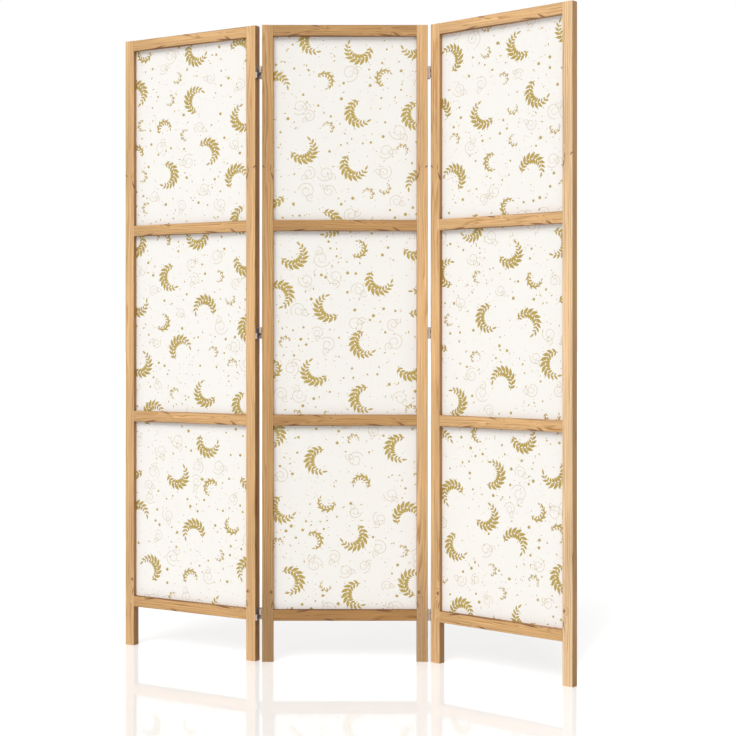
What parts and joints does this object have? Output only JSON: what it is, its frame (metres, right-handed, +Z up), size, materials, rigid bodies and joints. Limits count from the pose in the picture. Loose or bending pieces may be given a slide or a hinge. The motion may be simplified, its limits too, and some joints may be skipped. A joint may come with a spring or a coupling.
{
  "type": "folding screen",
  "caption": "Free-standing room divider of pine frames with stretched canvas panes, joined by small steel hinges that let the frames fold flat, shown as an open zigzag.",
  "frame": {"origin": "on the floor under the centre of the box round the whole screen as it stands at rest", "axes": "+Z up; +X along the middle frame, to the right seen from the front; +Y from the front face to the back"},
  "size_m": [1.2106, 0.5344, 1.71],
  "materials": {
    "pine": "satin",
    "batten_pine": "matte",
    "canvas": "matte",
    "hinge_steel": "satin"
  },
  "bodies": {
    "middle_panel": {"left_joint_bottom_inner_plate": "hinge_steel", "left_joint_middle_inner_plate": "hinge_steel", "left_joint_top_inner_plate": "hinge_steel", "left_joint_upper_links": "hinge_steel", "middle_panel_bottom_rail": "pine", "middle_panel_canvas": "canvas", "middle_panel_cross_battens": "batten_pine", "middle_panel_end_battens": "batten_pine", "middle_panel_hinge_pins": "hinge_steel", "middle_panel_hinge_screws": "hinge_steel", "middle_panel_left_stile": "pine", "middle_panel_lower_rail": "pine", "middle_panel_rail_brads": "hinge_steel", "middle_panel_right_stile": "pine", "middle_panel_side_battens": "batten_pine", "middle_panel_top_rail": "pine", "middle_panel_upper_rail": "pine", "right_joint_bottom_inner_plate": "hinge_steel", "right_joint_lower_links": "hinge_steel", "right_joint_middle_inner_plate": "hinge_steel", "right_joint_top_inner_plate": "hinge_steel"},
    "left_panel": {"left_joint_bottom_outer_plate": "hinge_steel", "left_joint_lower_links": "hinge_steel", "left_joint_middle_outer_plate": "hinge_steel", "left_joint_top_outer_plate": "hinge_steel", "left_panel_bottom_rail": "pine", "left_panel_canvas": "canvas", "left_panel_cross_battens": "batten_pine", "left_panel_end_battens": "batten_pine", "left_panel_hinge_pins": "hinge_steel", "left_panel_hinge_screws": "hinge_steel", "left_panel_left_stile": "pine", "left_panel_lower_rail": "pine", "left_panel_rail_brads": "hinge_steel", "left_panel_right_stile": "pine", "left_panel_side_battens": "batten_pine", "left_panel_top_rail": "pine", "left_panel_upper_rail": "pine"},
    "right_panel": {"right_joint_bottom_outer_plate": "hinge_steel", "right_joint_middle_outer_plate": "hinge_steel", "right_joint_top_outer_plate": "hinge_steel", "right_joint_upper_links": "hinge_steel", "right_panel_bottom_rail": "pine", "right_panel_canvas": "canvas", "right_panel_cross_battens": "batten_pine", "right_panel_end_battens": "batten_pine", "right_panel_hinge_pins": "hinge_steel", "right_panel_hinge_screws": "hinge_steel", "right_panel_left_stile": "pine", "right_panel_lower_rail": "pine", "right_panel_rail_brads": "hinge_steel", "right_panel_right_stile": "pine", "right_panel_side_battens": "batten_pine", "right_panel_top_rail": "pine", "right_panel_upper_rail": "pine"}
  },
  "joints": [
    {"name": "left_fold", "type": "hinge", "parent": "middle_panel", "child": "left_panel", "pos_m": [-0.20564, 0.04356, 0.855], "axis": [0, 0, 1], "range_deg": [-150, 30]},
    {"name": "right_fold", "type": "hinge", "parent": "middle_panel", "child": "right_panel", "pos_m": [0.24737, 0.02056, 0.855], "axis": [0, 0, 1], "range_deg": [-140, 40]}
  ]
}
